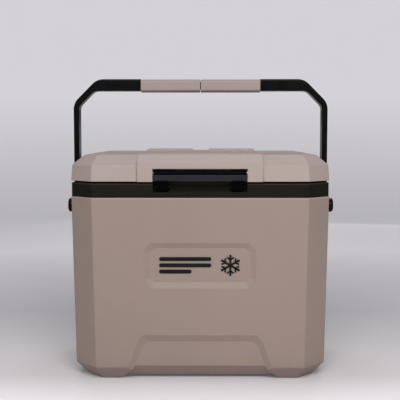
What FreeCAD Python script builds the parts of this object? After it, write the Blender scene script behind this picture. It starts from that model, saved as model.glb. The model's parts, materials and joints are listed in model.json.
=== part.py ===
"""Hard-sided cooler chest with a front latch, rear hinges and a bail handle, one STEP file per piece.

Origin on the floor under the middle of the chest, +X along its length, the front towards -Y, +Z up.
All sizes are in millimetres.
"""

import FreeCAD, Part

import math
import os

V = FreeCAD.Vector
X_AXIS, Y_AXIS, Z_AXIS = V(1, 0, 0), V(0, 1, 0), V(0, 0, 1)
SIDES = (("left", -1), ("right", 1))
CUT = 1.0  # how far a cutting tool stands past the face it opens
CLEAR = 20.0  # how far a tool that opens an outside wall reaches out of it
OCTAGON_SHRINK = 2 - math.sqrt(2)  # how fast a 45 degree corner's leg shortens as its outline shrinks

# Body: half lengths are at its top edge, and its walls lean in towards the floor.
BODY_HALF_X, BODY_HALF_Y, BODY_TOP = 186.0, 132.0, 264.0
DRAFT = math.radians(1.0)
CORNER, CORNER_FLOOR = 33.0, 23.0  # leg of the 45 degree corners, in the walls and at the floor
BASE_EDGE, BASE_INSET = 20.0, 18.0  # height and width of the bevel round the foot of the walls
PRESS_DEPTH = 5.0  # depth of the apron panel, so also the height of the feet
BADGE_DEPTH = 4.0
WALL_ROUND = 3.5  # radius on the edges between the outside walls
SHELL, LINER = 3.0, 2.5
LINER_INSET, CAVITY_INSET = 27.5, 30.0
CAVITY_FLOOR = 34.0

# Apron panel: sunk into front, rear and underside between the feet. Half widths with their heights.
APRON_OUTER = ((121.0, -2.0), (109.0, 5.0), (88.5, 59.0), (81.0, 67.5))
APRON_INNER = ((104.0, -2.0), (100.0, 5.0), (82.5, 50.5), (76.0, 57.0))
APRON_UNDER = APRON_OUTER[:2] + ((96.0, 17.0), (90.0, 20.0))  # between the feet, from front to rear
APRON_RADII = (0.5, 8.0, 4.5, 4.5)
SIDE_CHANNEL_HALF = 62.0  # half gap between the front and rear feet, at the sides

# Badge panel, sunk into the front.
BADGE_Z, BADGE_HALF_X, BADGE_HALF_Z, BADGE_CORNER = 167.8, 79.8, 32.6, 11.0
BADGE_BEVEL = 8.0
BADGE_PLATE = 0.8
BAR_START, BAR_LENGTHS, BAR_PITCH, BAR_HALF, BAR_ROUND = -58.0, (74.0, 74.0, 46.0), 9.0, 2.75, 2.5
CRYSTAL_X, CRYSTAL_R, CRYSTAL_HALF = 43.0, 15.0, 1.5
TWIG_HALF, TWIG_LENGTH, TWIG_PLACE, TWIG_ANGLE = 1.1, 6.5, 7.5, 50

# Rim collar and what sits on it.
COLLAR_INSET, COLLAR_WALL, COLLAR_TOP, DECK = 1.0, 3.5, 284.0, 3.0
TONGUE_BOTTOM, TONGUE_GAP = 254.0, 0.5
RISER_OUT, RISER_IN, RISER_TOP = 6.0, 8.5, 286.6
FLANGE_INSET, FLANGE_TOP = 15.0, 286.0

# Lid.
LID_BOTTOM, BAND_TOP, SLOPE_TOP, LID_TOP = 287.0, 309.6, 323.4, 325.8
BAND_LEAN, SLOPE_RUN, CROWN_RUN = 1.8, 16.5, 14.0
LID_WALL = 3.0
LID_ROUND = 5.0  # radius on the edges of the lid's outside
MID_HALF = 88.2  # raised middle section
MID_GROOVE, MID_GROOVE_DEPTH = 1.4, 1.2  # groove at each side of it
MID_FRONT, MID_BAND_TOP, MID_RISE = 3.0, 314.0, 1.3
MID_DROP, MID_DEPTH, MID_TAIL, MID_ROUND = 0.3, 12.0, 8.0, 0.9
PAD_X, PAD_Y, PAD_TOP, PAD_BEVEL = (12.5, 87.5), (46.0, 106.0), 329.3, 2.0
PAN_BOTTOM, PAN_TOP, PAN_INSET, PLUG_BOTTOM, PLUG_INSET = 288.0, 290.5, 3.6, 275.0, 33.0
SEAL_OUT, SEAL_IN, SEAL_BOTTOM, SEAL_TOP = 15.5, 22.0, 286.3, 289.2

# Latch and its pocket.
POCKET_HALF, POCKET_BACK, POCKET_TOP, POCKET_FLOOR, POCKET_WALL = 66.5, -120.0, 305.0, 272.0, 2.5
LUG = 6.0  # thickness of the lid's walls that hold the latch pin
LATCH_Y, LATCH_Z, LATCH_R, LATCH_PIN_R = -129.5, 299.0, 4.0, 2.0
LATCH_HALF, LATCH_FACE, LATCH_SHOULDER, LATCH_LIP = 65.4, -136.5, 296.0, 288.3
LATCH_EDGE, LIP_DEPTH, LEG_ROOT = 1.2, 4.5, 294.3
LEG_X, LEG_FRONT, LEG_BACK, LEG_BOTTOM = (45.0, 61.0), -133.5, -128.0, 273.6
LEG_EDGE, NOSE_SLOPE = 1.5, 3.0
NOSE_BACK, NOSE_TOP = -122.5, 277.4
KEEPER_X, KEEPER_FRONT, KEEPER_Z = (42.0, 64.0), -125.0, (277.7, 281.0)

# Rear hinges.
HINGE_X, HINGE_Y, HINGE_Z = 120.0, 132.0, 285.5
KNUCKLE_R, HINGE_PIN_R, LEAF_HALF, KNUCKLE_HALF = 4.5, 2.0, 22.0, 8.0
NOTCH_HALF, NOTCH_Y, NOTCH_Z = 24.0, 126.4, (279.9, 291.6)
LEAF_BACK, LEAF_THICK = 135.3, 3.0
LOWER_LEAF_Z, UPPER_LEAF_Z = (266.5, 280.6), (291.6, 307.5)
LEAF_ROUND = 3.0
SCREW_X, SCREW_R, SCREW_HEAD_R, SCREW_HEAD, SCREW_LENGTH = 15.0, 1.75, 3.4, 1.2, 12.0
SLOT_HALF_WIDTH, SLOT_HALF_LENGTH, SLOT_DEPTH = 0.4, 2.0, 0.6
LOWER_SCREW_Z, UPPER_SCREW_Z = 273.0, 300.5

# Handle and its pivots.
PIVOT_Z, PIN_R = 243.2, 6.0
FIT = 0.05  # radial clearance of a running fit
GAP = 0.3  # clearance beside a part that moves
ARM_IN, ARM_OUT, BAIL_HALF_Y = 186.8, 195.2, 12.5
BAR_BOTTOM, BAR_TOP = 419.4, 437.4
OUTER_KNEE_Z, OUTER_KNEE_X, INNER_KNEE_Z, INNER_KNEE_X = 400.9, 158.8, 395.6, 163.6
OUTER_BEND, INNER_BEND, BAIL_EDGE = 24.0, 14.0, 2.5
SHARP = 0.01  # radius of a corner that stays sharp
CORE_HALF_Y, CORE_Z, CORE_EDGE = 9.5, (422.2, 433.6), 3.0
GRIP_HALF_X, GRIP_HALF_Y, GRIP_Z, GRIP_SEAM = 91.5, 14.0, (417.8, 437.0), 0.4
GRIP_EDGE, GRIP_END_EDGE = 4.5, 0.8
BUSH_R, BUSH_FLANGE_R, BUSH_INNER = 8.5, 11.0, 167.0
CAP_R, CAP_OUT, CAP_DOME = 10.7, 206.0, 3.0
PIN_INNER, PIN_OUTER = 162.0, 200.0
RETAINER_R, RETAINER = 9.5, 2.0


# ---------------------------------------------------------------------------------------------
# Shape helpers


def box(x, y, z):
    """A box from three (low, high) spans."""
    return Part.makeBox(x[1] - x[0], y[1] - y[0], z[1] - z[0], V(x[0], y[0], z[0]))


def rod(radius, x, y, z):
    """A round bar along X over the span x."""
    return Part.makeCylinder(radius, x[1] - x[0], V(x[0], y, z), X_AXIS)


def fuse(shapes):
    """The shapes joined into one, with the seams between flush faces removed."""
    return shapes[0].multiFuse(shapes[1:]).removeSplitter()


def cut(shape, tools):
    """The shape with every tool taken away."""
    for tool in tools:
        shape = shape.cut(tool)
    return shape


def polygon(points):
    """A closed wire through the points."""
    return Part.makePolygon(list(points) + [points[0]])


def rounded(points, radii):
    """A closed wire through the points, with each corner turned by an arc of its own radius."""
    starts, arcs, ends = [], [], []
    for i, (point, radius) in enumerate(zip(points, radii)):
        back = (points[i - 1] - point).normalize()
        ahead = (points[(i + 1) % len(points)] - point).normalize()
        half_angle = back.getAngle(ahead) / 2
        reach = radius / math.tan(half_angle)
        inward = (back + ahead).normalize()
        middle = point + inward * (radius / math.sin(half_angle) - radius)
        starts.append(point + back * reach)
        ends.append(point + ahead * reach)
        arcs.append(Part.Arc(starts[-1], middle, ends[-1]).toShape())
    edges = []
    for i, arc in enumerate(arcs):
        edges.append(arc)
        edges.append(Part.makeLine(ends[i], starts[(i + 1) % len(points)]))
    return Part.Wire(edges)


def soften(shape, radius, wanted):
    """Fillets the edges whose middle point and direction pass the test wanted(middle, direction)."""
    edges = []
    for edge in shape.Edges:
        if edge.Degenerated:
            continue
        middle = edge.valueAt((edge.FirstParameter + edge.LastParameter) / 2)
        direction = edge.tangentAt((edge.FirstParameter + edge.LastParameter) / 2)
        if wanted(middle, direction):
            edges.append(edge)
    return shape.makeFillet(radius, edges)


def octagon(half_x, half_y, corner, z):
    """A rectangle with its four corners cut at 45 degrees, at height z."""
    x, y = half_x - corner, half_y - corner
    spots = ((half_x, -y), (half_x, y), (x, half_y), (-x, half_y))
    spots += ((-half_x, y), (-half_x, -y), (-x, -half_y), (x, -half_y))
    return polygon([V(px, py, z) for px, py in spots])


# ---------------------------------------------------------------------------------------------
# Body forms: every wall of the chest is this form, shrunk evenly


def corner_leg(z, inset):
    """Leg of the corner cut at a height, for a form shrunk by inset."""
    shorter = (CORNER - CORNER_FLOOR) * max(0.0, 1 - z / BASE_EDGE)
    return CORNER - shorter - inset * OCTAGON_SHRINK


def body_section(z, inset, extra=0.0):
    """Outline of the body at a height, shrunk by inset; extra moves it in further for the bevel."""
    run = (BODY_TOP - z) * math.tan(DRAFT) + inset + extra
    return octagon(BODY_HALF_X - run, BODY_HALF_Y - run, corner_leg(z, inset), z)


def plain_form(inset, top=BODY_TOP):
    """The body without its panels, shrunk by inset."""
    slope = BASE_INSET / BASE_EDGE
    steep = math.hypot(1, slope)
    edge = BASE_EDGE + inset * (steep - 1) / slope
    tuck = BASE_INSET + inset * (steep - slope) - inset
    sections = [body_section(inset, inset, tuck), body_section(edge, inset), body_section(top, inset)]
    return Part.makeLoft(sections, True, True)


def lean_to_front(shape):
    """Tilts a tool made square to the plane y = -BODY_HALF_Y so that it is square to the front wall."""
    shape.rotate(V(0, -BODY_HALF_Y, BODY_TOP), X_AXIS, math.degrees(DRAFT))
    return shape


def apron_outline(steps, y):
    """The apron panel's outline in a plane of constant y, with softly rounded upper corners."""
    right = [V(x, y, z) for x, z in steps]
    left = [V(-x, y, z) for x, z in reversed(steps)]
    return rounded(right + left, APRON_RADII + APRON_RADII[::-1])


def apron_tool(inset):
    """Everything between the feet, bevelled where it meets the front and rear walls."""
    face = -BODY_HALF_Y + inset
    bevel = Part.makeLoft(
        [apron_outline(APRON_OUTER, face), apron_outline(APRON_INNER, face + PRESS_DEPTH)], True, True
    )
    ahead = Part.Face(apron_outline(APRON_OUTER, face)).extrude(V(0, -CLEAR, 0))
    front = lean_to_front(fuse([bevel, ahead]))
    rear = front.copy()
    rear.rotate(V(0, 0, 0), Z_AXIS, 180)
    depth = BODY_HALF_Y - inset - PRESS_DEPTH
    through = Part.Face(apron_outline(APRON_INNER, -depth)).extrude(V(0, 2 * depth, 0))
    under = Part.Face(apron_outline(APRON_UNDER, -depth)).extrude(V(0, 2 * depth, 0))
    return fuse([front, rear, through, under])


def channel_tool(inset):
    """The gap between front and rear feet, under the chest from side to side."""
    roof = PRESS_DEPTH + inset
    half = SIDE_CHANNEL_HALF + inset
    slope = roof + CUT
    points = [V(-BODY_HALF_X, -half - slope, -CUT), V(-BODY_HALF_X, half + slope, -CUT)]
    points += [V(-BODY_HALF_X, half, roof), V(-BODY_HALF_X, -half, roof)]
    return Part.Face(polygon(points)).extrude(V(2 * BODY_HALF_X, 0, 0))


def badge_outline(shrink, y):
    """The badge panel's outline, moved in by shrink."""
    x, z = BADGE_HALF_X - shrink, BADGE_HALF_Z - shrink
    corner = BADGE_CORNER - 0.5 * shrink
    spots = ((x, -z + corner), (x, z - corner), (x - corner, z), (corner - x, z))
    spots += ((-x, z - corner), (-x, corner - z), (corner - x, -z), (x - corner, -z))
    return rounded([V(px, y, BADGE_Z + pz) for px, pz in spots], [4.0] * 8)


def badge_tool(inset):
    """The badge panel's hollow, with sloping sides."""
    face = -BODY_HALF_Y + inset
    slope = Part.makeLoft(
        [badge_outline(0, face), badge_outline(BADGE_BEVEL, face + BADGE_DEPTH)], True, True
    )
    ahead = Part.Face(badge_outline(0, face)).extrude(V(0, -CLEAR, 0))
    return lean_to_front(fuse([slope, ahead]))


def body_form(inset, top=BODY_TOP):
    """The body with its panels pressed in, shrunk by inset."""
    form = plain_form(inset, top)
    if inset == 0:
        form = soften(form, WALL_ROUND, lambda m, d: CUT < m.z < BODY_TOP - CUT)
    under = plain_form(inset + PRESS_DEPTH, top + CUT)
    tools = [apron_tool(inset).cut(under), channel_tool(inset).cut(under), badge_tool(inset)]
    return cut(form, tools)


def rim_block(inset, z):
    """A solid block that follows the body's top outline at one inset."""
    wire = octagon(BODY_HALF_X - inset, BODY_HALF_Y - inset, CORNER - inset * OCTAGON_SHRINK, z[0])
    return Part.Face(wire).extrude(V(0, 0, z[1] - z[0]))


def rim_ring(outer, inner, z):
    """An upright ring that follows the body's top outline, between two insets."""
    return rim_block(outer, z).cut(rim_block(inner, z))


# ---------------------------------------------------------------------------------------------
# Openings shared by neighbouring pieces


def latch_pocket(grow=0.0, sides=0.0):
    """The space the latch works in, through the lid's front edge and the collar."""
    x = POCKET_HALF + sides
    y = (-BODY_HALF_Y - CLEAR, POCKET_BACK + grow)
    return box((-x, x), y, (POCKET_FLOOR - grow, POCKET_TOP + grow))


def hinge_notches(grow=0.0):
    """The spaces at the rear that the hinge knuckles sit in."""
    notches = []
    for _, sign in SIDES:
        x = sign * HINGE_X
        half = NOTCH_HALF + grow
        low, high = NOTCH_Z[0] - grow, NOTCH_Z[1] + grow
        notches.append(box((x - half, x + half), (NOTCH_Y - grow, BODY_HALF_Y + CLEAR), (low, high)))
    return notches


def screw_spots(z):
    """Middle points of the four screws at one height."""
    return [V(sign * HINGE_X + step, LEAF_BACK, z) for _, sign in SIDES for step in (-SCREW_X, SCREW_X)]


def screw_holes(z, radius):
    """Holes for the four screws at one height."""
    return [
        Part.makeCylinder(radius, SCREW_LENGTH + 2 * LEAF_THICK, spot + V(0, LEAF_THICK, 0), V(0, -1, 0))
        for spot in screw_spots(z)
    ]


def pivot_rod(radius, span, sign):
    """A round bar on the handle's pivot axis, over a span of distances from the middle."""
    low, high = sorted((sign * span[0], sign * span[1]))
    return rod(radius, (low, high), 0, PIVOT_Z)


def both_pivots(radius, span):
    """The same bar on both sides."""
    return [pivot_rod(radius, span, sign) for _, sign in SIDES]


# ---------------------------------------------------------------------------------------------
# Body pieces


def outer_body_shell():
    hollow = body_form(SHELL, BODY_TOP + CUT)
    return cut(body_form(0), [hollow] + both_pivots(BUSH_R, (BUSH_INNER, BODY_HALF_X + 5)))


def liner_form(inset, floor, top):
    """The tub's form: the body's plain walls, shrunk by inset."""
    return Part.makeLoft([body_section(floor, inset), body_section(top, inset)], True, True)


def liner_tub():
    outside = liner_form(LINER_INSET, CAVITY_FLOOR - LINER, FLANGE_TOP)
    flange = rim_block(FLANGE_INSET, (COLLAR_TOP, FLANGE_TOP))
    inside = liner_form(CAVITY_INSET, CAVITY_FLOOR, FLANGE_TOP + CUT)
    return fuse([outside, flange]).cut(inside)


def body_insulation():
    lower = body_form(SHELL, TONGUE_BOTTOM)
    upper = rim_block(COLLAR_INSET + COLLAR_WALL, (TONGUE_BOTTOM, COLLAR_TOP - DECK))
    tub = liner_form(LINER_INSET, CAVITY_FLOOR - LINER, FLANGE_TOP)
    tools = [tub, latch_pocket(POCKET_WALL, POCKET_WALL)] + hinge_notches(POCKET_WALL)
    tools += both_pivots(BUSH_R, (BUSH_INNER, BODY_HALF_X))
    tools += both_pivots(RETAINER_R + 1, (PIN_INNER - 1, BUSH_INNER))
    tools += screw_holes(LOWER_SCREW_Z, SCREW_R)
    return cut(fuse([lower, upper]), tools)


def rim_collar():
    skirt = rim_ring(COLLAR_INSET, COLLAR_INSET + COLLAR_WALL, (BODY_TOP, COLLAR_TOP))
    deck = rim_ring(COLLAR_INSET, LINER_INSET, (COLLAR_TOP - DECK, COLLAR_TOP))
    riser = rim_ring(RISER_OUT, RISER_IN, (COLLAR_TOP, RISER_TOP))
    tongue = rim_ring(SHELL + TONGUE_GAP, COLLAR_INSET + COLLAR_WALL, (TONGUE_BOTTOM, BODY_TOP))
    solid = rim_block(COLLAR_INSET, (BODY_TOP, COLLAR_TOP))
    solid = solid.fuse(rim_block(RISER_OUT, (COLLAR_TOP, RISER_TOP)))
    walls = [latch_pocket(POCKET_WALL, POCKET_WALL)] + hinge_notches(POCKET_WALL)
    pockets = [solid.common(wall) for wall in walls]
    ring = fuse([skirt, deck, riser, tongue] + pockets)
    tub = liner_form(LINER_INSET, CAVITY_FLOOR - LINER, FLANGE_TOP)
    ring = cut(ring, [tub, latch_pocket()] + hinge_notches() + screw_holes(LOWER_SCREW_Z, SCREW_R))
    return soften(ring, 0.8, is_collar_rim)


def is_collar_rim(middle, direction):
    """The collar's top outer edge, which shows as a thin bright line."""
    outside = (
        abs(abs(middle.x) - BODY_HALF_X + COLLAR_INSET) < 0.01
        or abs(abs(middle.y) - BODY_HALF_Y + COLLAR_INSET) < 0.01
        or abs(abs(middle.x) + abs(middle.y) - BODY_HALF_X - BODY_HALF_Y + CORNER) < 4
    )
    return outside and abs(middle.z - COLLAR_TOP) < 0.01 and abs(direction.z) < 0.01


def latch_keeper(sign):
    low, high = sorted((sign * KEEPER_X[0], sign * KEEPER_X[1]))
    return box((low, high), (KEEPER_FRONT, POCKET_BACK), KEEPER_Z)


def panel_badge():
    """Generic badge: a six-armed ice crystal beside three plain bars."""
    face = -BODY_HALF_Y + BADGE_DEPTH - BADGE_PLATE
    pieces = []
    for row, length in enumerate(BAR_LENGTHS):
        z = BADGE_Z + (1 - row) * BAR_PITCH
        x = (BAR_START, BAR_START + length)
        bar = box(x, (face, face + BADGE_PLATE), (z - BAR_HALF, z + BAR_HALF))
        pieces.append(soften(bar, BAR_ROUND, lambda m, d: abs(d.y) > 0.9))
    crystal = []
    for turn in range(6):
        arm = box((-CRYSTAL_HALF, CRYSTAL_HALF), (face, face + BADGE_PLATE), (0, CRYSTAL_R))
        arm = arm.fuse(crystal_twig(face, 1)).fuse(crystal_twig(face, -1))
        arm.rotate(V(0, 0, 0), Y_AXIS, turn * 60)
        arm.translate(V(CRYSTAL_X, 0, BADGE_Z))
        crystal.append(arm)
    pieces.append(fuse(crystal))
    return lean_to_front(Part.makeCompound(pieces))


def crystal_twig(face, side):
    """One short branch of a crystal arm."""
    twig = box((-TWIG_HALF, TWIG_HALF), (face, face + BADGE_PLATE), (0, TWIG_LENGTH))
    twig.rotate(V(0, 0, 0), Y_AXIS, side * TWIG_ANGLE)
    twig.translate(V(0, 0, TWIG_PLACE))
    return twig


def pivot_bush(sign):
    sleeve = pivot_rod(BUSH_R, (BUSH_INNER, ARM_IN - GAP), sign)
    flange = pivot_rod(BUSH_FLANGE_R, (BODY_HALF_X - 3, ARM_IN - GAP), sign).cut(plain_form(0))
    return fuse([sleeve, flange]).cut(pivot_rod(PIN_R + FIT, (PIN_INNER, ARM_OUT), sign))


def hinge_knuckle(span, sign):
    """A knuckle of a hinge, over a span of distances from the hinge's middle."""
    x = sign * HINGE_X
    return rod(KNUCKLE_R, (x + span[0], x + span[1]), HINGE_Y, HINGE_Z)


def base_hinge_leaf(sign):
    x = sign * HINGE_X
    face = BODY_HALF_Y - COLLAR_INSET
    plate = box((x - LEAF_HALF, x + LEAF_HALF), (face, face + LEAF_THICK), LOWER_LEAF_Z)
    parts = [soften(plate, LEAF_ROUND, lambda m, d: abs(d.y) > 0.9 and m.z < LOWER_LEAF_Z[0] + 1)]
    for span in ((-LEAF_HALF, -KNUCKLE_HALF - GAP), (KNUCKLE_HALF + GAP, LEAF_HALF)):
        parts.append(hinge_knuckle(span, sign))
        neck = box((x + span[0], x + span[1]), (face, face + LEAF_THICK), (LOWER_LEAF_Z[1], HINGE_Z))
        parts.append(neck)
    pin = rod(HINGE_PIN_R, (x - LEAF_HALF, x + LEAF_HALF), HINGE_Y, HINGE_Z)
    return cut(fuse(parts), [pin] + screw_holes(LOWER_SCREW_Z, SCREW_R))


def lid_hinge_leaf(sign):
    x = sign * HINGE_X
    inner = LEAF_BACK - LEAF_THICK - 1
    plate = box((x - LEAF_HALF, x + LEAF_HALF), (inner, LEAF_BACK), UPPER_LEAF_Z)
    plate = soften(plate, LEAF_ROUND, lambda m, d: abs(d.y) > 0.9 and m.z > UPPER_LEAF_Z[1] - 1)
    neck = box((x - KNUCKLE_HALF, x + KNUCKLE_HALF), (HINGE_Y, LEAF_BACK), (HINGE_Z, UPPER_LEAF_Z[0]))
    knuckle = hinge_knuckle((-KNUCKLE_HALF, KNUCKLE_HALF), sign)
    leaf = cut(fuse([plate, neck]), [lid_outside().cut(hinge_notches()[0]).cut(hinge_notches()[1])])
    pin = rod(HINGE_PIN_R + FIT, (x - LEAF_HALF, x + LEAF_HALF), HINGE_Y, HINGE_Z)
    return cut(fuse([leaf, knuckle]), [pin] + screw_holes(UPPER_SCREW_Z, SCREW_R))


def hinge_pin(sign):
    x = sign * HINGE_X
    return rod(HINGE_PIN_R, (x - LEAF_HALF, x + LEAF_HALF), HINGE_Y, HINGE_Z)


def hinge_screws(z, seat):
    """Four pan-head screws whose heads sit on the plane y = seat."""
    screws = []
    for spot in screw_spots(z):
        under = V(spot.x, seat, z)
        head = Part.makeCylinder(SCREW_HEAD_R, SCREW_HEAD, under, Y_AXIS)
        shank = Part.makeCylinder(SCREW_R, SCREW_LENGTH, under, V(0, -1, 0))
        slots = []
        for half_x, half_z in ((SLOT_HALF_WIDTH, SLOT_HALF_LENGTH), (SLOT_HALF_LENGTH, SLOT_HALF_WIDTH)):
            y = (seat + SCREW_HEAD - SLOT_DEPTH, seat + SCREW_HEAD + CUT)
            slots.append(box((spot.x - half_x, spot.x + half_x), y, (z - half_z, z + half_z)))
        screws.append(cut(head.fuse(shank), slots))
    return Part.makeCompound(screws)


# ---------------------------------------------------------------------------------------------
# Lid pieces


def lid_levels():
    """Height and inset of each level of the lid's outside."""
    return (
        (LID_BOTTOM, 0.0),
        (BAND_TOP, BAND_LEAN),
        (SLOPE_TOP, BAND_LEAN + SLOPE_RUN),
        (LID_TOP, BAND_LEAN + SLOPE_RUN + CROWN_RUN),
    )


def lid_form(inset, lower=0.0):
    """The lid without its raised parts, shrunk by inset and with its open side lowered."""
    wires = []
    for i, (z, run) in enumerate(lid_levels()):
        level = z - lower if i == 0 else z - inset
        leg = CORNER - (run + inset) * OCTAGON_SHRINK
        wires.append(octagon(BODY_HALF_X - run - inset, BODY_HALF_Y - run - inset, leg, level))
    return Part.makeLoft(wires, True, True)


def middle_section():
    """The raised section across the lid, from its front edge to its rear slope."""
    front = BODY_HALF_Y + MID_FRONT
    crest = SLOPE_TOP + MID_RISE
    half_top = BODY_HALF_Y - SLOPE_RUN
    inner = -front + MID_DEPTH
    profile = [(-front, LID_BOTTOM - MID_DROP), (-front, MID_BAND_TOP), (-half_top, crest)]
    profile += [(-half_top + CROWN_RUN, LID_TOP + MID_RISE), (half_top - CROWN_RUN, LID_TOP + MID_RISE)]
    profile += [(half_top, crest), (half_top + MID_TAIL, SLOPE_TOP - MID_TAIL)]
    profile += [(half_top - MID_DEPTH, SLOPE_TOP - MID_DEPTH), (inner, SLOPE_TOP - 1.5 * MID_DEPTH)]
    profile += [(inner, LID_BOTTOM - MID_DROP)]
    wire = polygon([V(-MID_HALF, y, z) for y, z in profile])
    slab = Part.Face(wire).extrude(V(2 * MID_HALF, 0, 0))

    def is_side_edge(middle, direction):
        at_side = abs(abs(middle.x) - MID_HALF) < 0.01
        return at_side and middle.y < half_top + 1 and middle.z > LID_BOTTOM

    return soften(slab, MID_ROUND, is_side_edge)


def lid_pad(sign):
    """One of the two low pads at the rear of the lid's top."""
    wires = []
    for shrink, z in ((0.0, LID_TOP), (0.0, LID_TOP + MID_RISE), (PAD_BEVEL, PAD_TOP)):
        low, high = sorted((sign * (PAD_X[0] + shrink), sign * (PAD_X[1] - shrink)))
        y = (PAD_Y[0] + shrink, PAD_Y[1] - shrink)
        wires.append(polygon([V(low, y[0], z), V(high, y[0], z), V(high, y[1], z), V(low, y[1], z)]))
    return Part.makeLoft(wires, True, True)


def lid_outside():
    """The lid's whole outside as one solid."""
    form = soften(lid_form(0), LID_ROUND, lambda m, d: LID_BOTTOM + 1 < m.z < LID_TOP - 0.1)
    grooves = []
    for _, sign in SIDES:
        low, high = sorted((sign * MID_HALF, sign * (MID_HALF + MID_GROOVE)))
        y = (-BODY_HALF_Y - CUT, -BODY_HALF_Y + MID_GROOVE_DEPTH)
        grooves.append(box((low, high), y, (LID_BOTTOM - CUT, BAND_TOP + CUT)))
    pads = [lid_pad(sign) for _, sign in SIDES]
    return fuse([cut(form, grooves), middle_section()] + pads)


def lid_pocket_walls():
    """Solid blocks that line the latch pocket and the hinge notches."""
    lining = lid_form(0)
    walls = [latch_pocket(POCKET_WALL, LUG)] + hinge_notches(POCKET_WALL)
    return [lining.common(wall) for wall in walls]


def lid_outer_shell():
    hollow = lid_form(LID_WALL, CUT)
    shell = fuse([lid_outside().cut(hollow)] + lid_pocket_walls())
    pin = rod(LATCH_PIN_R, (-POCKET_HALF - LUG + 1, POCKET_HALF + LUG - 1), LATCH_Y, LATCH_Z)
    tools = [latch_pocket(), pin] + hinge_notches() + screw_holes(UPPER_SCREW_Z, SCREW_R)
    return cut(shell, tools)


def lid_inner_pan():
    plate = rim_block(PAN_INSET, (PAN_BOTTOM, PAN_TOP))
    plug = rim_block(PLUG_INSET, (PLUG_BOTTOM, PAN_TOP))
    plug = soften(plug, 4.0, lambda m, d: m.z < PAN_BOTTOM - 1)
    hollow = rim_block(PLUG_INSET + LINER, (PLUG_BOTTOM + LINER, PAN_TOP + CUT))
    groove = rim_ring(SEAL_OUT, SEAL_IN, (PAN_BOTTOM - CUT, SEAL_TOP))
    tools = [hollow, groove, latch_pocket(POCKET_WALL, LUG)] + hinge_notches(POCKET_WALL)
    return cut(fuse([plate, plug]), tools)


def lid_insulation():
    upper = lid_form(LID_WALL, CUT).common(rim_block(PAN_INSET, (PAN_TOP, LID_TOP)))
    lower = rim_block(PLUG_INSET + LINER, (PLUG_BOTTOM + LINER, PAN_TOP))
    tools = [latch_pocket(POCKET_WALL, LUG)] + hinge_notches(POCKET_WALL)
    return cut(fuse([upper, lower]), tools + screw_holes(UPPER_SCREW_Z, SCREW_R))


def lid_gasket():
    ring = rim_ring(SEAL_OUT, SEAL_IN, (SEAL_BOTTOM, SEAL_TOP))
    return soften(ring, 1.2, lambda m, d: abs(m.z - SEAL_BOTTOM) < 0.01)


def latch_pin():
    half = POCKET_HALF + LUG - 1
    return rod(LATCH_PIN_R, (-half, half), LATCH_Y, LATCH_Z)


# ---------------------------------------------------------------------------------------------
# Latch and handle


def latch_paddle():
    """The pull bar, its barrel round the pin, and the two legs whose noses hook under the keepers."""
    half = LATCH_HALF
    barrel = rod(LATCH_R, (-half, half), LATCH_Y, LATCH_Z)
    profile = [(LATCH_Y - LATCH_R, LATCH_Z), (LATCH_FACE, LATCH_SHOULDER)]
    profile += [(LATCH_FACE, LATCH_LIP + LATCH_EDGE), (LATCH_FACE + LATCH_EDGE, LATCH_LIP)]
    profile += [(LATCH_FACE + LIP_DEPTH, LATCH_LIP), (LEG_BACK, LEG_ROOT)]
    profile += [(LATCH_Y + LATCH_R, LATCH_Z), (LATCH_Y, LATCH_Z)]
    bar = Part.Face(polygon([V(-half, y, z) for y, z in profile])).extrude(V(2 * half, 0, 0))
    parts = [barrel, bar]
    leg = [(LEG_FRONT, LEG_ROOT), (LEG_FRONT, LEG_BOTTOM + LEG_EDGE), (LEG_FRONT + LEG_EDGE, LEG_BOTTOM)]
    leg += [(NOSE_BACK - NOSE_SLOPE, LEG_BOTTOM), (NOSE_BACK, NOSE_TOP - LEG_EDGE), (NOSE_BACK, NOSE_TOP)]
    leg += [(LEG_BACK, NOSE_TOP), (LEG_BACK, LEG_ROOT)]
    for _, sign in SIDES:
        low, high = sorted((sign * LEG_X[0], sign * LEG_X[1]))
        parts.append(Part.Face(polygon([V(low, y, z) for y, z in leg])).extrude(V(high - low, 0, 0)))
    bore = rod(LATCH_PIN_R + FIT, (-half - CUT, half + CUT), LATCH_Y, LATCH_Z)
    return fuse(parts).cut(bore)


def handle_bail():
    """Two arms and a crossbar, with round eyes on the pivot axis and a thinner core under the grip."""
    outer = [(ARM_OUT, PIVOT_Z), (ARM_OUT, OUTER_KNEE_Z), (OUTER_KNEE_X, BAR_TOP)]
    inner = [(INNER_KNEE_X, BAR_BOTTOM), (ARM_IN, INNER_KNEE_Z), (ARM_IN, PIVOT_Z)]
    outline = outer + [(-x, z) for x, z in reversed(outer)]
    outline += [(-x, z) for x, z in reversed(inner)] + inner
    bends = [SHARP] + 4 * [OUTER_BEND] + 2 * [SHARP] + 4 * [INNER_BEND] + [SHARP]
    wire = rounded([V(x, -BAIL_HALF_Y, z) for x, z in outline], bends)
    bail = Part.Face(wire).extrude(V(0, 2 * BAIL_HALF_Y, 0))
    bail = soften(bail, BAIL_EDGE, lambda m, d: abs(abs(m.y) - BAIL_HALF_Y) < 0.01 and m.z > PIVOT_Z + 1)
    grip_x, grip_y = GRIP_HALF_X, BAIL_HALF_Y + CUT
    grip_zone = box((-grip_x, grip_x), (-grip_y, grip_y), (BAR_BOTTOM - CUT, BAR_TOP + CUT))
    parts = [bail.cut(grip_zone), grip_core()]
    for _, sign in SIDES:
        parts.append(pivot_rod(BAIL_HALF_Y, (ARM_IN, ARM_OUT), sign))
    return cut(fuse(parts), both_pivots(PIN_R + FIT, (ARM_IN - CUT, ARM_OUT + CUT)))


def grip_core():
    core = box((-GRIP_HALF_X, GRIP_HALF_X), (-CORE_HALF_Y, CORE_HALF_Y), CORE_Z)
    return soften(core, CORE_EDGE, lambda m, d: abs(d.x) > 0.9)


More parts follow.
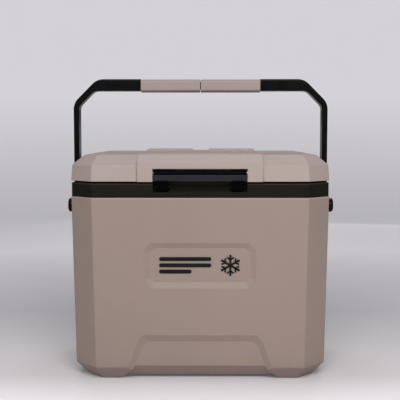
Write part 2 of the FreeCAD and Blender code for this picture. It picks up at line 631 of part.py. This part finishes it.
def grip_half(sign):
    low, high = sorted((sign * GRIP_SEAM, sign * GRIP_HALF_X))
    sleeve = box((low, high), (-GRIP_HALF_Y, GRIP_HALF_Y), GRIP_Z)
    sleeve = soften(sleeve, GRIP_EDGE, lambda m, d: abs(d.x) > 0.9)
    sleeve = soften(sleeve, GRIP_END_EDGE, lambda m, d: min(abs(m.x - low), abs(m.x - high)) < 0.01)
    return sleeve.cut(grip_core())


def pivot_pin(sign):
    return pivot_rod(PIN_R, (PIN_INNER, PIN_OUTER), sign)


def pivot_cap(sign):
    cap = pivot_rod(CAP_R, (ARM_OUT + GAP, CAP_OUT), sign)
    cap = soften(cap, CAP_DOME, lambda m, d: abs(abs(m.x) - CAP_OUT) < 0.01)
    return cap.cut(pivot_pin(sign))


def pivot_retainer(sign):
    ring = pivot_rod(RETAINER_R, (PIN_INNER + 1, PIN_INNER + 1 + RETAINER), sign)
    return ring.cut(pivot_pin(sign))


# ---------------------------------------------------------------------------------------------


def build():
    """Every node's shape by name."""
    nodes = {
        "outer_body_shell": outer_body_shell(),
        "body_insulation": body_insulation(),
        "liner_tub": liner_tub(),
        "rim_collar": rim_collar(),
        "panel_badge": panel_badge(),
        "base_hinge_screws": hinge_screws(LOWER_SCREW_Z, BODY_HALF_Y - COLLAR_INSET + LEAF_THICK),
        "lid_outer_shell": lid_outer_shell(),
        "lid_insulation": lid_insulation(),
        "lid_inner_pan": lid_inner_pan(),
        "lid_gasket": lid_gasket(),
        "lid_hinge_screws": hinge_screws(UPPER_SCREW_Z, LEAF_BACK),
        "latch_pin": latch_pin(),
        "latch_paddle": latch_paddle(),
        "handle_bail": handle_bail(),
    }
    makers = (latch_keeper, pivot_bush, base_hinge_leaf, lid_hinge_leaf, hinge_pin)
    makers += (grip_half, pivot_pin, pivot_cap, pivot_retainer)
    for maker in makers:
        for side, sign in SIDES:
            nodes[f"{maker.__name__}_{side}"] = maker(sign)
    return nodes


os.makedirs("parts", exist_ok=True)
for name, shape in build().items():
    shape.exportStep(f"parts/{name}.step")
    print(f"{name:26} solids {len(shape.Solids)} valid {shape.isValid()} volume {shape.Volume / 1000:9.2f} cm3")
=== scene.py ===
"""Looks of the cooler chest: finishes, stage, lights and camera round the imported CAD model.

Lengths are in metres, in the CAD model's frame: the latch faces -Y and the chest stands on z = 0.
"""

import json
import math

import bpy
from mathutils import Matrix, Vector


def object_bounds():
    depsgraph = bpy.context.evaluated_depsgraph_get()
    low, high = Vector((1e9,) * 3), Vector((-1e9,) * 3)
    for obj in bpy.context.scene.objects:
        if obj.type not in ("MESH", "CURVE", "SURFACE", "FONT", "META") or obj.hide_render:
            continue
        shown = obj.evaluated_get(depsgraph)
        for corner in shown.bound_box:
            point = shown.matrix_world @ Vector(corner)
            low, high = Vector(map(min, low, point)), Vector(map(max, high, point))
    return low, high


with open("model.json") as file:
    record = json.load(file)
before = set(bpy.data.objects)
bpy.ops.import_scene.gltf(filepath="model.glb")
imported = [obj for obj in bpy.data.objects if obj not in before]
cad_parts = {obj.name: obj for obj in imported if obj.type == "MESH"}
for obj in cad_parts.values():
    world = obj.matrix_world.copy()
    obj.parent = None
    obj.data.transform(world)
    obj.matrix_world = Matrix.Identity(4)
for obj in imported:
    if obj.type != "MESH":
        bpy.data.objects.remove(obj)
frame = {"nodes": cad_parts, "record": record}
cad_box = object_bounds()
FLOOR_Z = cad_box[0].z

# Finishes: linear base colours.
BODY_TAN, BODY_TAN_PALE = (0.335, 0.259, 0.224), (0.43, 0.35, 0.31)
LID_TAN, LID_TAN_PALE = (0.430, 0.351, 0.322), (0.51, 0.43, 0.40)
GRIP_TAN, GRIP_TAN_PALE = (0.365, 0.297, 0.272), (0.45, 0.38, 0.35)
COLLAR_BLACK = (0.0125, 0.0112, 0.0082)
HANDLE_BLACK = (0.0038, 0.0038, 0.0045)
LATCH_BLACK = (0.0185, 0.0185, 0.0245)
SHADE_BLACK, SHADE_SHINE = (0.0015, 0.0015, 0.0015), 0.02  # above and below the latch's front
LINER_WHITE = (0.70, 0.70, 0.67)
FOAM_CREAM = (0.72, 0.66, 0.46)
RUBBER_BLACK, RUBBER_BLOOM = (0.016, 0.016, 0.016), (0.09, 0.09, 0.088)
STEEL, STEEL_TARNISH = (0.52, 0.51, 0.49), (0.30, 0.28, 0.25)
BADGE_BLACK = (0.0035, 0.0035, 0.004)

PLASTIC_IOR = 1.5
EDGE_FULL, EDGE_NONE = 0.80, 0.995  # cosine between true and softened normal, on an edge and off it

# Widths of rubbed and softened edges, and how strongly a rubbed edge or a rim's painted highlight shows.
TAN_RUB_WIDTH, TAN_EDGE_SOFT, TAN_RUB_SHOWS, TAN_RIM_SHOWS = 0.0022, 0.0012, 0.55, 0.9
DARK_RUB_WIDTH, DARK_EDGE_SOFT, DARK_RIM_SHOWS = 0.0016, 0.0009, 0.7

# Heights of details in the finishes: (low, high), and for a darkening low down its strength too.
# The rims carry painted highlights, and outside the latch's front lies painted shade. The body
# gets darker at its foot, and on the grips the darkening is painted shade under them.
BAND_SOFT = 0.0008
BODY_RIM_HIGHLIGHT, COLLAR_RIM_HIGHLIGHT, LATCH_FRONT = (0.2629, 0.264), (0.2829, 0.284), (0.2883, 0.296)
BODY_FOOT_DARKENING, GRIP_PAINTED_SHADE = (FLOOR_Z, FLOOR_Z + 0.035, 0.22), (0.4180, 0.4215, 0.95)

# Stage: a wide bowl, so that every side of the chest is seen against the same sweep. Its colour
# goes from near to far along Y, over the fade's two places: painted light, pale near the front and
# darker behind.
FLOOR_RADIUS, SWEEP_RADIUS, WALL_TOP = 2.3, 0.9, 3.2
STAGE_RINGS, STAGE_SIDES = 12, 96
STAGE_NEAR_LIT, STAGE_FAR_SHADED, STAGE_FADE = (0.80, 0.765, 0.775), (0.42, 0.41, 0.43), (-0.25, 0.35)

# The stage's glow: strengths, and where each fades, from and to, in Y, in radius or in height.
GLOW_COLOUR, GLOW_FLOOR, GLOW_WALL = (0.985, 0.97, 1.03), 0.34, 0.55
GLOW_NEAR, GLOW_BEHIND, GLOW_BOUNCE = 0.31, 0.07, 0.5
GLOW_FRONT_FADE, GLOW_NEAR_FADE = (-0.24, -0.10), (0.25, 0.9)
GLOW_FLOOR_FADE, GLOW_WALL_HEIGHT = (0.25, 1.3), 0.55

# Lights: name, place, target, width, height and power in watts.
LIGHTS = (
    ("key_front", (0.10, -1.45, 1.25), (0.0, 0.0, 0.26), 1.2, 0.7, 22.5),
    ("fill_right", (1.8, -0.5, 0.8), (0.0, 0.0, 0.22), 0.8, 1.2, 1.2),
    ("fill_left", (-1.8, -0.5, 0.8), (0.0, 0.0, 0.22), 0.8, 1.2, 0.8),
    ("back_top", (0.0, 1.1, 1.9), (0.0, 0.1, 0.3), 1.8, 0.8, 15.0),
    ("fill_rear", (0.3, 2.0, 0.15), (0.0, 0.0, 0.15), 1.6, 0.5, 1.2),
)
AIR_COLOUR, AIR_STRENGTH = (0.96, 0.97, 1.0), 0.17

# Camera: its place, its turn to the left and its tilt down, and its lens in millimetres.
CAMERA_PLACE = Vector((0.0078, -1.282, 0.3532))
CAMERA_YAW, CAMERA_PITCH = math.radians(0.388), math.radians(4.572)
CAMERA_LENS = 74.05


# ---------------------------------------------------------------------------------------------
# Node helpers


def is_socket(source):
    """Whether a value comes from another node rather than as a plain constant."""
    return isinstance(source, bpy.types.NodeSocket)


def with_alpha(source):
    """A colour as a socket takes it: a socket as it is, or (r, g, b) with its alpha."""
    return source if is_socket(source) else (*source, 1.0)


def tinted(colour, factor):
    """The colour made darker or lighter by a factor."""
    return tuple(factor * part for part in colour)


class Finish:
    """One node material: its tree, its shader and short ways to add nodes."""

    def __init__(self, name):
        self.material = bpy.data.materials.new(name)
        self.material.use_nodes = True
        self.nodes = self.material.node_tree.nodes
        self.links = self.material.node_tree.links
        self.shader = self.nodes["Principled BSDF"]
        self.place = self.add("ShaderNodeTexCoord").outputs["Object"]

    def add(self, kind, **settings):
        """Adds a node of a kind, with its properties set by name."""
        node = self.nodes.new(kind)
        for key, value in settings.items():
            setattr(node, key, value)
        return node

    def put(self, source, socket):
        """Feeds a socket from another socket, or sets its constant."""
        if is_socket(source):
            self.links.new(source, socket)
        else:
            socket.default_value = source

    def math(self, operation, first, second):
        """Combines two values by a math operation."""
        node = self.add("ShaderNodeMath", operation=operation)
        self.put(first, node.inputs[0])
        self.put(second, node.inputs[1])
        return node.outputs[0]

    def span(self, value, low, high, to_low, to_high):
        """Maps a value from one range to another, and holds it inside."""
        node = self.add("ShaderNodeMapRange", clamp=True)
        self.put(value, node.inputs["Value"])
        self.put(low, node.inputs["From Min"])
        self.put(high, node.inputs["From Max"])
        self.put(to_low, node.inputs["To Min"])
        self.put(to_high, node.inputs["To Max"])
        return node.outputs["Result"]

    def height(self):
        """Height of the point in the object's own coordinates."""
        node = self.add("ShaderNodeSeparateXYZ")
        self.put(self.place, node.inputs[0])
        return node.outputs["Z"]

    def band(self, low, high):
        """One between two heights, nought outside them, with soft ends."""
        above = self.span(self.height(), low - BAND_SOFT, low, 0.0, 1.0)
        below = self.span(self.height(), high, high + BAND_SOFT, 1.0, 0.0)
        return self.math("MULTIPLY", above, below)

    def stretched(self, stretch):
        """The object's own coordinates, scaled by one factor an axis."""
        node = self.add("ShaderNodeMapping")
        self.put(self.place, node.inputs["Vector"])
        node.inputs["Scale"].default_value = stretch
        return node.outputs["Vector"]

    def noise(self, scale, detail=2.0, rough=0.5, stretch=None):
        """Cloudy noise of a scale per metre, drawn out along an axis where stretch is small."""
        node = self.add("ShaderNodeTexNoise")
        self.put(self.place if stretch is None else self.stretched(stretch), node.inputs["Vector"])
        node.inputs["Scale"].default_value = scale
        node.inputs["Detail"].default_value = detail
        node.inputs["Roughness"].default_value = rough
        return node.outputs["Fac"]

    def cells(self, scale):
        """Rounded cells of a scale per metre, nought at their middles."""
        node = self.add("ShaderNodeTexVoronoi", feature="SMOOTH_F1")
        self.put(self.place, node.inputs["Vector"])
        node.inputs["Scale"].default_value = scale
        return node.outputs["Distance"]

    def mix(self, amount, first, second):
        """Mixes two colours, given as sockets or as (r, g, b)."""
        node = self.add("ShaderNodeMix", data_type="RGBA")
        self.put(amount, node.inputs["Factor"])
        self.put(with_alpha(first), node.inputs[6])
        self.put(with_alpha(second), node.inputs[7])
        return node.outputs[2]

    def soft_normal(self, radius):
        """The surface's normal with its sharp edges turned over a small radius."""
        node = self.add("ShaderNodeBevel", samples=4)
        node.inputs["Radius"].default_value = radius
        return node.outputs["Normal"]

    def edges(self, radius):
        """One on sharp edges, nought on flat faces."""
        flat = self.add("ShaderNodeNewGeometry").outputs["Normal"]
        dot = self.add("ShaderNodeVectorMath", operation="DOT_PRODUCT")
        self.put(self.soft_normal(radius), dot.inputs[0])
        self.put(flat, dot.inputs[1])
        return self.span(dot.outputs["Value"], EDGE_FULL, EDGE_NONE, 1.0, 0.0)

    def bumps(self, heights, normal=None):
        """Stacks bumps, given as (height socket, distance in metres, strength)."""
        for height, distance, strength in heights:
            node = self.add("ShaderNodeBump")
            node.inputs["Distance"].default_value = distance
            node.inputs["Strength"].default_value = strength
            self.put(height, node.inputs["Height"])
            if normal is not None:
                self.put(normal, node.inputs["Normal"])
            normal = node.outputs["Normal"]
        self.put(normal, self.shader.inputs["Normal"])

    def colour(self, source):
        self.put(with_alpha(source), self.shader.inputs["Base Color"])

    def roughness(self, source):
        self.put(source, self.shader.inputs["Roughness"])

    def constant(self, **values):
        """Sets plain numbers on the shader by socket name, with _ for a space."""
        for key, value in values.items():
            self.shader.inputs[key.replace("_", " ")].default_value = value


# ---------------------------------------------------------------------------------------------
# Finishes


def tan_plastic(name, colour, pale, low_darkening=None, rim=None):
    """Moulded polyethylene: fine sandy grain, faint flow mottling, paler rubbed edges.

    A darkening (low, high, strength) darkens it towards its lowest height, which on the grips is
    painted shade under them; a rim (low, high) is paler, a painted highlight.
    """
    finish = Finish(name)
    flow = finish.noise(5.0, detail=3.0, stretch=(1.0, 1.0, 0.45))
    speck = finish.noise(900.0, detail=1.0)
    scuff = finish.noise(38.0, detail=4.0, rough=0.7)
    base = finish.mix(finish.span(flow, 0.35, 0.68, 0.0, 1.0), tinted(colour, 0.93), colour)
    base = finish.mix(finish.span(speck, 0.55, 0.75, 0.0, 0.10), base, pale)
    rubbed = finish.math(
        "MULTIPLY", finish.edges(TAN_RUB_WIDTH), finish.span(scuff, 0.35, 0.65, 0.15, 0.75)
    )
    base = finish.mix(finish.math("MULTIPLY", rubbed, TAN_RUB_SHOWS), base, pale)
    # A rim is a painted highlight: paler along its band.
    if rim is not None:
        base = finish.mix(finish.math("MULTIPLY", finish.band(*rim), TAN_RIM_SHOWS), base, pale)
    # Darker towards the lowest height; on the grips this is painted shade under them.
    if low_darkening is not None:
        bottom, top, strength = low_darkening
        low = finish.span(finish.height(), bottom, top, strength, 0.0)
        darkening = finish.math("MULTIPLY", low, finish.span(scuff, 0.3, 0.6, 0.5, 1.0))
        base = finish.mix(darkening, base, tinted(colour, 0.5))
    finish.colour(base)
    finish.roughness(finish.span(scuff, 0.3, 0.7, 0.50, 0.60))
    grain = finish.noise(1500.0, detail=2.0, rough=0.6)
    pebble = finish.noise(420.0, detail=2.0)
    ripple = finish.noise(16.0, detail=1.0)
    finish.bumps(
        [(ripple, 0.0009, 0.35), (pebble, 0.00012, 0.35), (grain, 0.00006, 0.5)],
        normal=finish.soft_normal(TAN_EDGE_SOFT),
    )
    finish.constant(IOR=PLASTIC_IOR, Specular_IOR_Level=0.42)
    return finish.material


def dark_plastic(
    name, colour, low_rough, high_rough,
    edge=DARK_EDGE_SOFT, wear_and_highlight=0.03, shine=0.22, face=None, rim=None,
):
    """Moulded black plastic: leathery micro grain, drawn scratches and slightly greyed edges.

    Face and rim are (low, high) heights: outside its face it takes painted shade, near black with
    little shine, and its rim is greyer, a painted highlight.
    """
    finish = Finish(name)
    smear = finish.noise(26.0, detail=4.0, rough=0.65)
    scratch = finish.noise(180.0, detail=3.0, rough=0.6, stretch=(0.06, 1.0, 1.0))
    grey = tuple(part + wear_and_highlight for part in colour)
    rubbed = finish.math(
        "MULTIPLY", finish.edges(DARK_RUB_WIDTH), finish.span(smear, 0.4, 0.68, 0.05, 0.6)
    )
    base = finish.mix(finish.span(smear, 0.35, 0.7, 0.0, 0.5), colour, tinted(colour, 1.35))
    base = finish.mix(rubbed, base, grey)
    finish.constant(IOR=PLASTIC_IOR, Specular_IOR_Level=shine)
    # A rim is a painted highlight, in the rubbed edges' grey.
    if rim is not None:
        base = finish.mix(finish.math("MULTIPLY", finish.band(*rim), DARK_RIM_SHOWS), base, grey)
    # Outside the face is painted shade: near black, with little shine.
    if face is not None:
        front = finish.band(*face)
        base = finish.mix(front, SHADE_BLACK, base)
        gloss = finish.span(front, 0.0, 1.0, SHADE_SHINE, shine)
        finish.put(gloss, finish.shader.inputs["Specular IOR Level"])
    finish.colour(base)
    rough = finish.span(smear, 0.3, 0.7, low_rough, high_rough)
    finish.roughness(finish.math("ADD", rough, finish.span(scratch, 0.62, 0.75, 0.0, 0.08)))
    grain = finish.cells(1500.0)
    finish.bumps(
        [(scratch, 0.00005, 0.25), (grain, 0.00005, 0.35)],
        normal=finish.soft_normal(edge),
    )
    return finish.material


def liner_plastic(name, colour):
    """Smooth off-white liner with faint vacuum-forming haze and small scuffs."""
    finish = Finish(name)
    haze = finish.noise(9.0, detail=3.0)
    scuff = finish.noise(60.0, detail=5.0, rough=0.7, stretch=(1.0, 1.0, 0.25))
    base = finish.mix(finish.span(haze, 0.3, 0.7, 0.0, 1.0), tinted(colour, 0.95), colour)
    base = finish.mix(finish.span(scuff, 0.62, 0.74, 0.0, 0.25), base, tinted(colour, 0.78))
    finish.colour(base)
    finish.roughness(finish.span(scuff, 0.3, 0.7, 0.30, 0.42))
    finish.bumps(
        [(haze, 0.0008, 0.3), (finish.noise(1300.0), 0.00003, 0.3)],
        normal=finish.soft_normal(0.003),
    )
    finish.constant(Subsurface_Weight=0.04, Subsurface_Scale=0.004)
    return finish.material


def foam(name, colour):
    """Cut polyurethane foam: open cells and a slightly browned skin."""
    finish = Finish(name)
    pores = finish.cells(420.0)
    age = finish.noise(14.0, detail=3.0)
    base = finish.mix(finish.span(age, 0.35, 0.7, 0.0, 0.6), colour, tinted(colour, 0.8))
    finish.colour(finish.mix(finish.span(pores, 0.1, 0.5, 0.35, 0.0), base, tinted(colour, 0.55)))
    finish.roughness(0.93)
    finish.bumps([(pores, 0.0006, 0.8)])
    return finish.material


def rubber(name, colour):
    """Soft seal rubber with a powdery bloom."""
    finish = Finish(name)
    bloom = finish.noise(70.0, detail=4.0, rough=0.7)
    finish.colour(finish.mix(finish.span(bloom, 0.45, 0.75, 0.0, 0.35), colour, RUBBER_BLOOM))
    finish.roughness(finish.span(bloom, 0.3, 0.7, 0.62, 0.8))
    finish.bumps([(finish.noise(1100.0), 0.00004, 0.5)], normal=finish.soft_normal(0.0008))
    return finish.material


def steel(name, colour):
    """Turned steel with fine lathe lines and light tarnish."""
    finish = Finish(name)
    lines = finish.noise(2600.0, detail=2.0, stretch=(1.0, 0.03, 0.03))
    tarnish = finish.noise(120.0, detail=4.0)
    finish.colour(finish.mix(finish.span(tarnish, 0.45, 0.75, 0.0, 0.6), colour, STEEL_TARNISH))
    finish.roughness(finish.span(lines, 0.3, 0.7, 0.24, 0.42))
    finish.bumps([(lines, 0.00002, 0.5)], normal=finish.soft_normal(0.0004))
    finish.constant(Metallic=1.0)
    return finish.material


FINISHES = {
    # The body is darker at its foot and paler along its top rim, a painted highlight.
    "shell_tan": tan_plastic("body_tan_moulded", BODY_TAN, BODY_TAN_PALE, BODY_FOOT_DARKENING, rim=BODY_RIM_HIGHLIGHT),
    "lid_tan": tan_plastic("lid_tan_moulded", LID_TAN, LID_TAN_PALE),
    # The collar's rim is a painted highlight.
    "collar_dark": dark_plastic(
        "collar_olive_black", COLLAR_BLACK, 0.42, 0.50, shine=0.05, rim=COLLAR_RIM_HIGHLIGHT
    ),
    "handle_black": dark_plastic("handle_satin_black", HANDLE_BLACK, 0.24, 0.34, edge=0.0015, shine=0.08),
    # Above and below the latch's front lies painted shade.
    "latch_black": dark_plastic(
        "latch_satin_black", LATCH_BLACK, 0.32, 0.42, shine=0.15, face=LATCH_FRONT
    ),
    "liner_white": liner_plastic("liner_off_white", LINER_WHITE),
    "foam": foam("foam_cream", FOAM_CREAM),
    "seal_rubber": rubber("seal_black_rubber", RUBBER_BLACK),
    "steel": steel("steel_turned", STEEL),
    "badge_black": dark_plastic("badge_black_print", BADGE_BLACK, 0.38, 0.5, edge=0.0004, wear_and_highlight=0.01),
}


def dress_nodes():
    """Gives every CAD node the finish of its slot in the record, and the grips their own tan."""
    # The grips darken at their underside: painted shade under them.
    grip_finish = tan_plastic("grip_tan_moulded", GRIP_TAN, GRIP_TAN_PALE, GRIP_PAINTED_SHADE)
    for part in frame["record"]["subparts"]:
        node = frame["nodes"][part["node"]]
        is_grip = part["node"].startswith("grip_half")
        node.data.materials.clear()
        node.data.materials.append(grip_finish if is_grip else FINISHES[part["material_slot"]])


# ---------------------------------------------------------------------------------------------
# Stage, lights and camera


def stage_profile():
    """Distance from the middle and height of the bowl's rings: floor, quarter sweep, wall."""
    steps = range(1, STAGE_RINGS + 1)
    rings = [(FLOOR_RADIUS * step / STAGE_RINGS, 0.0) for step in steps]
    for step in steps:
        turn = math.radians(90 * step / STAGE_RINGS)
        rings.append((FLOOR_RADIUS + SWEEP_RADIUS * math.sin(turn), SWEEP_RADIUS * (1 - math.cos(turn))))
    rings.append((FLOOR_RADIUS + SWEEP_RADIUS, WALL_TOP))
    return rings


def build_stage():
    """A round studio sweep, pale and plain, whose painted light shades off with distance."""
    profile = stage_profile()
    spots = [(0.0, 0.0, FLOOR_Z)]
    for radius, height in profile:
        for side in range(STAGE_SIDES):
            turn = 2 * math.pi * side / STAGE_SIDES
            spots.append((radius * math.cos(turn), radius * math.sin(turn), FLOOR_Z + height))
    faces = [(0, 1 + side, 1 + (side + 1) % STAGE_SIDES) for side in range(STAGE_SIDES)]
    for ring in range(len(profile) - 1):
        here, there = 1 + ring * STAGE_SIDES, 1 + (ring + 1) * STAGE_SIDES
        for side in range(STAGE_SIDES):
            after = (side + 1) % STAGE_SIDES
            faces.append((here + side, there + side, there + after, here + after))
    mesh = bpy.data.meshes.new("studio_sweep")
    mesh.from_pydata(spots, [], faces)
    mesh.polygons.foreach_set("use_smooth", [True] * len(faces))
    sweep = bpy.data.objects.new("studio_sweep", mesh)
    bpy.context.scene.collection.objects.link(sweep)
    mesh.materials.append(stage_finish())


def stage_finish():
    """Matte paper, lit by the key near the chest, with painted light: paler near the front, darker
    behind. Further out it glows for the camera alone.

    Near the chest the glow also lights the chest's foot, as the floor's bounce.
    """
    finish = Finish("studio_paper")
    axes = finish.add("ShaderNodeSeparateXYZ")
    finish.put(finish.place, axes.inputs[0])
    flat = finish.add("ShaderNodeVectorMath", operation="LENGTH")
    finish.put(finish.stretched((1.0, 1.0, 0.0)), flat.inputs[0])
    radius = flat.outputs["Value"]
    fade = finish.span(axes.outputs["Y"], *STAGE_FADE, 0.0, 1.0)
    # Painted light: the paper is paler near the front and darker behind.
    finish.colour(finish.mix(fade, STAGE_NEAR_LIT, STAGE_FAR_SHADED))
    finish.roughness(0.85)
    far = finish.span(radius, *GLOW_FLOOR_FADE, 0.0, GLOW_FLOOR)
    glow_top = FLOOR_Z + GLOW_WALL_HEIGHT
    wall = finish.span(axes.outputs["Z"], FLOOR_Z, glow_top, 0.0, GLOW_WALL - GLOW_FLOOR)
    seen = finish.add("ShaderNodeLightPath").outputs["Is Camera Ray"]
    near = finish.span(axes.outputs["Y"], *GLOW_FRONT_FADE, GLOW_NEAR, GLOW_BEHIND)
    near = finish.math("MULTIPLY", near, finish.span(radius, *GLOW_NEAR_FADE, 1.0, 0.0))
    near = finish.math("MULTIPLY", near, finish.span(seen, 0.0, 1.0, GLOW_BOUNCE, 1.0))
    far = finish.math("MULTIPLY", finish.math("ADD", far, wall), seen)
    finish.put(finish.math("ADD", far, near), finish.shader.inputs["Emission Strength"])
    finish.constant(Specular_IOR_Level=0.1, Emission_Color=(*GLOW_COLOUR, 1.0))
    return finish.material


def soft_light(name, place, target, width, height, power):
    """A rectangular light of a width and height, turned to face its target."""
    data = bpy.data.lights.new(name, "AREA")
    data.shape = "RECTANGLE"
    data.size, data.size_y = width, height
    data.energy = power
    light = bpy.data.objects.new(name, data)
    light.location = place
    light.rotation_euler = (Vector(target) - Vector(place)).to_track_quat("-Z", "Y").to_euler()
    bpy.context.scene.collection.objects.link(light)


def build_lights():
    """The table's lights, and the faint even light of the air round them."""
    for light in LIGHTS:
        soft_light(*light)
    world = bpy.data.worlds.new("studio_air")
    world.use_nodes = True
    air = world.node_tree.nodes["Background"]
    air.inputs["Color"].default_value = with_alpha(AIR_COLOUR)
    air.inputs["Strength"].default_value = AIR_STRENGTH
    bpy.context.scene.world = world


def build_camera():
    """The camera before the chest, without roll."""
    data = bpy.data.cameras.new("camera")
    data.lens = CAMERA_LENS
    camera = bpy.data.objects.new("camera", data)
    camera.location = CAMERA_PLACE
    camera.rotation_euler = (math.pi / 2 - CAMERA_PITCH, 0.0, CAMERA_YAW)
    bpy.context.scene.collection.objects.link(camera)
    bpy.context.scene.camera = camera


dress_nodes()
build_stage()
build_lights()
build_camera()
bpy.context.scene.view_settings.view_transform = "Standard"
